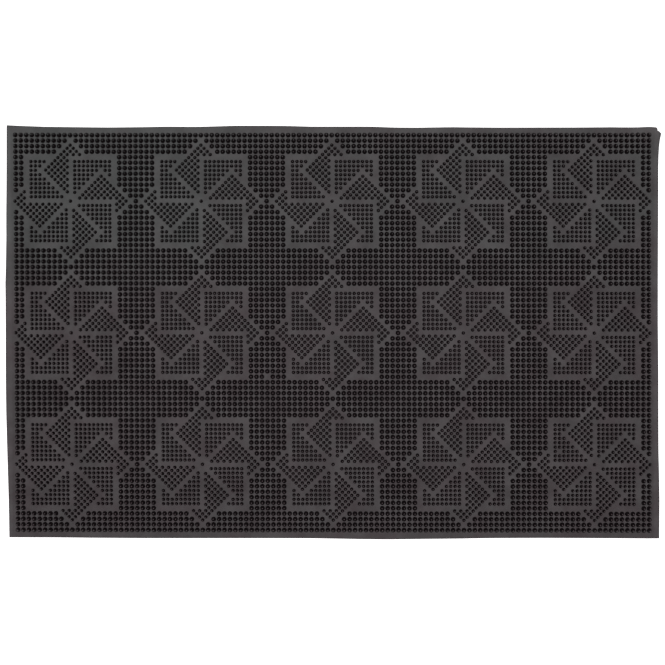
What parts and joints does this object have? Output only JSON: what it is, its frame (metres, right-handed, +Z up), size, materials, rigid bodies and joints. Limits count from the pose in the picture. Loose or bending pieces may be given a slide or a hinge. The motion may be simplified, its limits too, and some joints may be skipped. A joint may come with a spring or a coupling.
{
  "type": "door mat",
  "caption": "Rectangular black moulded rubber scraper mat with a grid of raised pins, pinwheel star motifs of finer pins, and a plain narrow border.",
  "frame": {"origin": "middle of the mat's flat underside, on the floor", "axes": "+X along the mat's length, +Y across its width towards the back long edge, +Z up out of the pin face"},
  "size_m": [0.716, 0.45, 0.0075],
  "materials": {
    "backing_rubber": "black vulcanised rubber, plain pressed underside",
    "border_rubber": "black vulcanised rubber, smooth matt margin",
    "pin_rubber": "black vulcanised rubber, moulded large pins",
    "pinwheel_rubber": "black vulcanised rubber, moulded small pins and plain paths"
  },
  "bodies": {
    "root": {"base_sheet": "backing_rubber", "border_front": "border_rubber", "border_back": "border_rubber", "border_left": "border_rubber", "border_right": "border_rubber", "pin_field_1_1": "pin_rubber", "pin_field_1_2": "pin_rubber", "pin_field_1_3": "pin_rubber", "pin_field_1_4": "pin_rubber", "pin_field_1_5": "pin_rubber", "pin_field_1_6": "pin_rubber", "pin_field_2_1": "pin_rubber", "pin_field_2_2": "pin_rubber", "pin_field_2_3": "pin_rubber", "pin_field_2_4": "pin_rubber", "pin_field_2_5": "pin_rubber", "pin_field_2_6": "pin_rubber", "pin_field_3_1": "pin_rubber", "pin_field_3_2": "pin_rubber", "pin_field_3_3": "pin_rubber", "pin_field_3_4": "pin_rubber", "pin_field_3_5": "pin_rubber", "pin_field_3_6": "pin_rubber", "pin_field_4_1": "pin_rubber", "pin_field_4_2": "pin_rubber", "pin_field_4_3": "pin_rubber", "pin_field_4_4": "pin_rubber", "pin_field_4_5": "pin_rubber", "pin_field_4_6": "pin_rubber", "pinwheel_1_1": "pinwheel_rubber", "pinwheel_1_2": "pinwheel_rubber", "pinwheel_1_3": "pinwheel_rubber", "pinwheel_1_4": "pinwheel_rubber", "pinwheel_1_5": "pinwheel_rubber", "pinwheel_2_1": "pinwheel_rubber", "pinwheel_2_2": "pinwheel_rubber", "pinwheel_2_3": "pinwheel_rubber", "pinwheel_2_4": "pinwheel_rubber", "pinwheel_2_5": "pinwheel_rubber", "pinwheel_3_1": "pinwheel_rubber", "pinwheel_3_2": "pinwheel_rubber", "pinwheel_3_3": "pinwheel_rubber", "pinwheel_3_4": "pinwheel_rubber", "pinwheel_3_5": "pinwheel_rubber"}
  },
  "joints": []
}
